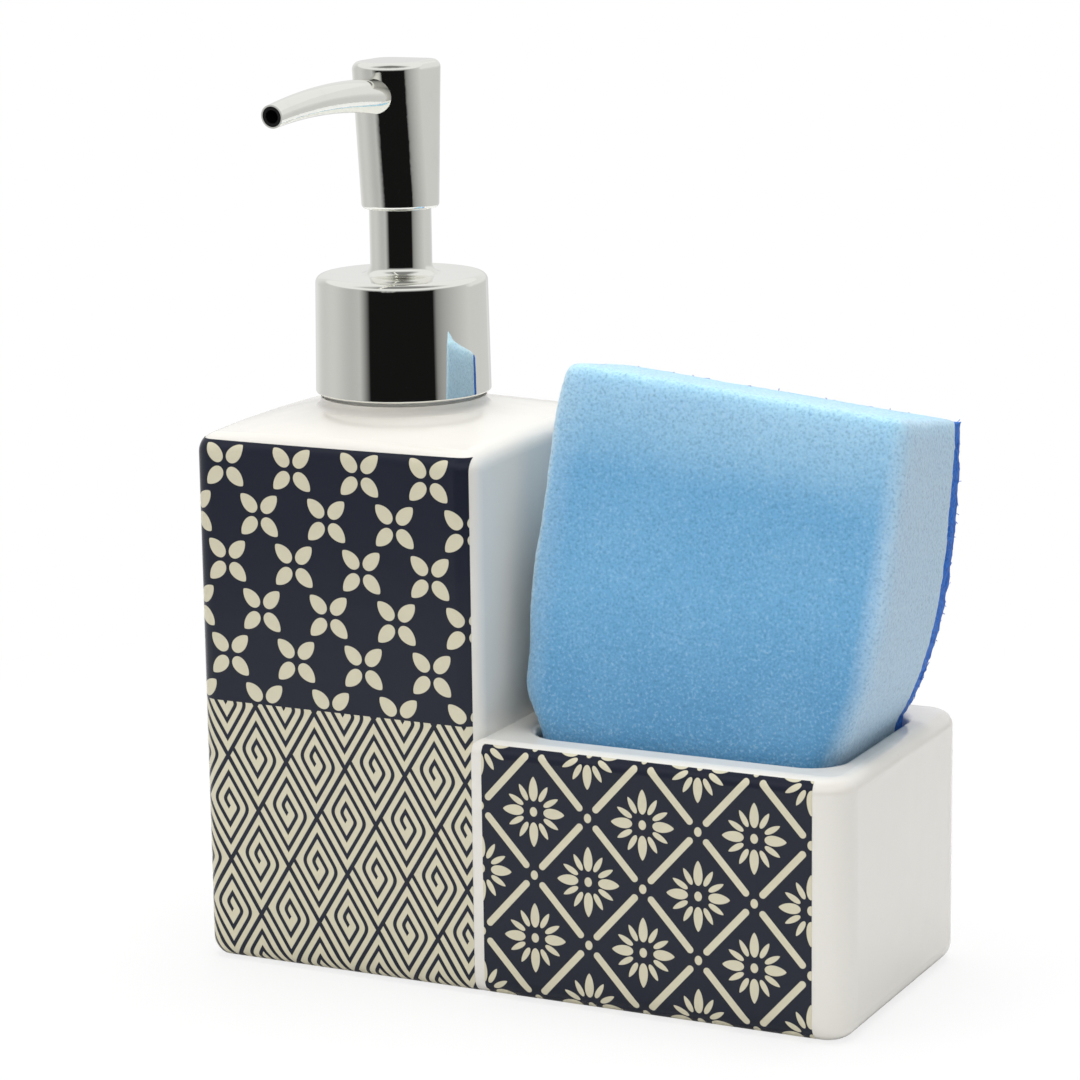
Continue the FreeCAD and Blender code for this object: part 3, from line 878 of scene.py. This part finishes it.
# %% Foam colour
foam_shaded_low = linear(94, 155, 199)
foam_mid = linear(120, 182, 224)
foam_painted_glow = linear(194, 233, 252)
foam_painted_edge_light = linear(194, 220, 240)
foam_painted_glint = linear(200, 226, 240)
foam_pore_shade = dimmed(foam_shaded_low, 0.6)
cell_size = 0.75
grain_size = 0.55
cloud_size = 16
top_at_origin = 123
top_slope = 0.098
right_foot = 63.0
right_knee = 66
right_knee_out = 4.8
right_top_out = 5.7
right_band = (-3.8, 0.5)
left_low = 56
left_foot_out = 3.6
left_top_in = 6.0
left_band = (0, 6)
left_face_band = (-0.4, 1.4)
low_shade_heights = (52, 80)
glow_depth = 20
glow_most = 0.75
cloud_most = 0.3
right_light_most = 0.85
left_light_most = 0.35
left_face_light_most = 0.8
glint_most = 0.32
grain_pore_shade = 0.3
cell_pore_shade = 0.15

foam_blue, graph, shader = surface(
    "open_cell_foam", roughness=0.9, specular_ior_level=0.25, sheen_weight=0.25, subsurface_weight=0.5,
    subsurface_radius=(0.7, 0.9, 1.0), subsurface_scale=6 * mm)
vector, x, _, z = place_of(graph)
cells = graph.number("ShaderNodeTexVoronoi", None, {"Vector": vector, "Scale": 1 / (cell_size * mm)})
grain = noise(graph, vector, grain_size, 3.0)
cloud = noise(graph, vector, cloud_size)
# Both sides of the block move to the right with height, the right one in two steps.
knee = z.ramp(lean_low, right_knee) * right_knee_out
right_edge = knee + z.ramp(right_knee, lean_high) * right_top_out + right_foot
left_edge = z.ramp(left_low, lean_high) * left_top_in - left_foot_out
# Painted light: a pale band along the right side and on the left edge and face of the block.
right_side = (x - right_edge).ramp(*right_band) * right_light_most
left_side = (1 - (x - left_edge).ramp(*left_band)) * left_light_most
left_face = 1 - (x - left_edge).ramp(*left_face_band)
# Painted light: a pale glow in a band below the top face, mottled by cloud.
below_top = top_at_origin - x * top_slope - z
light = (1 - below_top.ramp(1, glow_depth)) * glow_most + (cloud - 0.5) * cloud_most
# Painted shade: the foam's colour is darker towards the bottom, low in the tray.
colour = graph.blend(z.ramp(*low_shade_heights), foam_shaded_low, foam_mid)
colour = graph.blend(light.math("ADD", 0, clamp=True), colour, foam_painted_glow)
colour = graph.blend((right_side + left_side).most(left_face * left_face_light_most), colour, foam_painted_edge_light)
# Painted glints: pale specks where the grain noise is high.
colour = graph.blend(grain.ramp(0.55, 0.72) * glint_most, colour, foam_painted_glint)
# Painted shade: darker colour in the pores of the grain and the cells.
painted_pore_shade = (1 - grain.ramp(0.3, 0.5)) * grain_pore_shade + (1 - cells.ramp(0.1, 0.5)) * cell_pore_shade
graph.feed(shader.inputs["Base Color"], graph.blend(painted_pore_shade, colour, foam_pore_shade))
bumped(graph, shader, grain * 0.6 + cells * 0.4, 0.4)
print("foam nodes", len(graph.tree.nodes))

# %% Foam cells
drifts_per_metre = 60.0
cell_tree, graph, given = new_tree("foam_cells", {
    "Cells per Metre": "Float", "Depth": "Float", "Wander": "Float", "Material": "Material"})
cell = graph.number("ShaderNodeTexNoise", None, {"Scale": given["Cells per Metre"], "Detail": 2.0})
drift = graph.number("ShaderNodeTexNoise", None, {"Scale": drifts_per_metre, "Detail": 1.0})
sink = cell * Number(graph, given["Depth"]) + drift * Number(graph, given["Wander"])
normal = graph.add("GeometryNodeInputNormal").outputs[0]
shift = graph.add("ShaderNodeVectorMath", {"operation": "SCALE"}, {0: normal, "Scale": sink * -1})
sunk = graph.add("GeometryNodeSetPosition", None, {
    "Geometry": given["Geometry"], "Offset": shift.outputs[0]})
close_tree(graph, given, sunk.outputs[0])
run_tree(foam, cell_tree, {
    "Cells per Metre": 900.0, "Depth": 0.4 * mm, "Wander": 0.3 * mm, "Material": foam_blue})
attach(foam, "sponge")
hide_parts("sponge_foam")
print("foam triangles", sum(len(face.vertices) - 2 for face in foam.data.polygons))

# %% [markdown]
# ## Scouring fleece
# The back of the sponge is a pad of stiff nylon fibres. Seen from the front only its blue edge
# shows, with stray fibres. Thousands of short bent fibres are scattered over the pad by a tree:
# each is an arc of a few faces, laid almost flat and turned at random about the surface normal.

# %% Fleece finish
scour_deep = linear(20, 84, 176)
scour_mid = linear(30, 104, 206)
scour_light = linear(52, 132, 226)
strand_size = 0.7
patch_size = 7
patch_most = 0.4

scour_blue, graph, shader = surface("scouring_nylon", specular_ior_level=0.4)
vector, *_ = place_of(graph)
strands = noise(graph, vector, strand_size, 3.0)
patch = noise(graph, vector, patch_size).ramp(0.35, 0.7) * patch_most
colour = graph.blend(strands.ramp(0.3, 0.7), scour_deep, scour_light)
graph.feed(shader.inputs["Base Color"], graph.blend(patch, colour, scour_mid))
graph.feed(shader.inputs["Roughness"], 0.45 + strands * 0.3)
bumped(graph, shader, strands, 0.4)
print("fleece nodes", len(graph.tree.nodes))

# %% Fibres
fibre_tree, graph, given = new_tree("fibres", {
    "Fibres per Area": "Float", "Length": "Float", "Thickness": "Float", "Seed": "Int",
    "Material": "Material"})
arc_sweep = math.radians(80)
arc_steps = 5
fibre_sides = 3
most_tilt = 0.1
size_range = (0.6, 1.3)
upward_limit = 0.6
length = Number(graph, given["Length"])
arc = graph.add("GeometryNodeCurveArc", None, {
    "Resolution": arc_steps, "Radius": length * (1 / arc_sweep),
    "Start Angle": math.pi / 2 - arc_sweep / 2, "Sweep Angle": arc_sweep})
centred = graph.add("GeometryNodeTransform", None, {
    "Geometry": arc.outputs[0],
    "Translation": graph.add("ShaderNodeCombineXYZ", None, {1: length * (-1 / arc_sweep)}).outputs[0]})
section = graph.add("GeometryNodeCurvePrimitiveCircle", None, {
    "Resolution": fibre_sides, "Radius": Number(graph, given["Thickness"]) * 0.5})
fibre = graph.add("GeometryNodeCurveToMesh", None, {
    "Curve": centred.outputs[0], "Profile Curve": section.outputs[0], "Fill Caps": True})
facing = graph.add("ShaderNodeSeparateXYZ", None, {0: graph.add("GeometryNodeInputNormal").outputs[0]})
sideways = 1 - Number(graph, facing.outputs[2]).above(upward_limit)
spots = graph.add("GeometryNodeDistributePointsOnFaces", {"distribute_method": "RANDOM"}, {
    "Mesh": given["Geometry"], "Selection": sideways, "Density": given["Fibres per Area"],
    "Seed": given["Seed"]})
tilt = graph.add("FunctionNodeRandomValue", {"data_type": "FLOAT_VECTOR"}, {
    0: (-most_tilt, -most_tilt, 0.0), 1: (most_tilt, most_tilt, math.tau), "Seed": given["Seed"]})
turned = graph.add("FunctionNodeRotateRotation", {"rotation_space": "LOCAL"}, {
    "Rotation": spots.outputs["Rotation"],
    "Rotate By": graph.add("FunctionNodeEulerToRotation", None, {0: tilt.outputs[0]}).outputs[0]})
sizes = graph.add("FunctionNodeRandomValue", {"data_type": "FLOAT"}, {
    2: size_range[0], 3: size_range[1], "Seed": given["Seed"]})
strewn = graph.add("GeometryNodeInstanceOnPoints", None, {
    "Points": spots.outputs["Points"], "Instance": fibre.outputs[0], "Rotation": turned.outputs[0],
    "Scale": sizes.outputs[1]})
close_tree(graph, given, strewn.outputs[0])

run_tree(fleece, cell_tree, {
    "Cells per Metre": 600.0, "Depth": 0.7 * mm, "Wander": 0.3 * mm, "Material": scour_blue})
fibres = blank("fleece_fibres")
fibres.data = fleece.data.copy()
run_tree(fibres, fibre_tree, {
    "Fibres per Area": 4.8e5, "Length": 1.8 * mm, "Thickness": 0.14 * mm, "Seed": 4,
    "Material": scour_blue})
for piece in (fleece, fibres):
    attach(piece, "sponge")
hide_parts("scourer_pad")
print("fibre triangles", sum(len(face.vertices) - 2 for face in fibres.data.polygons))
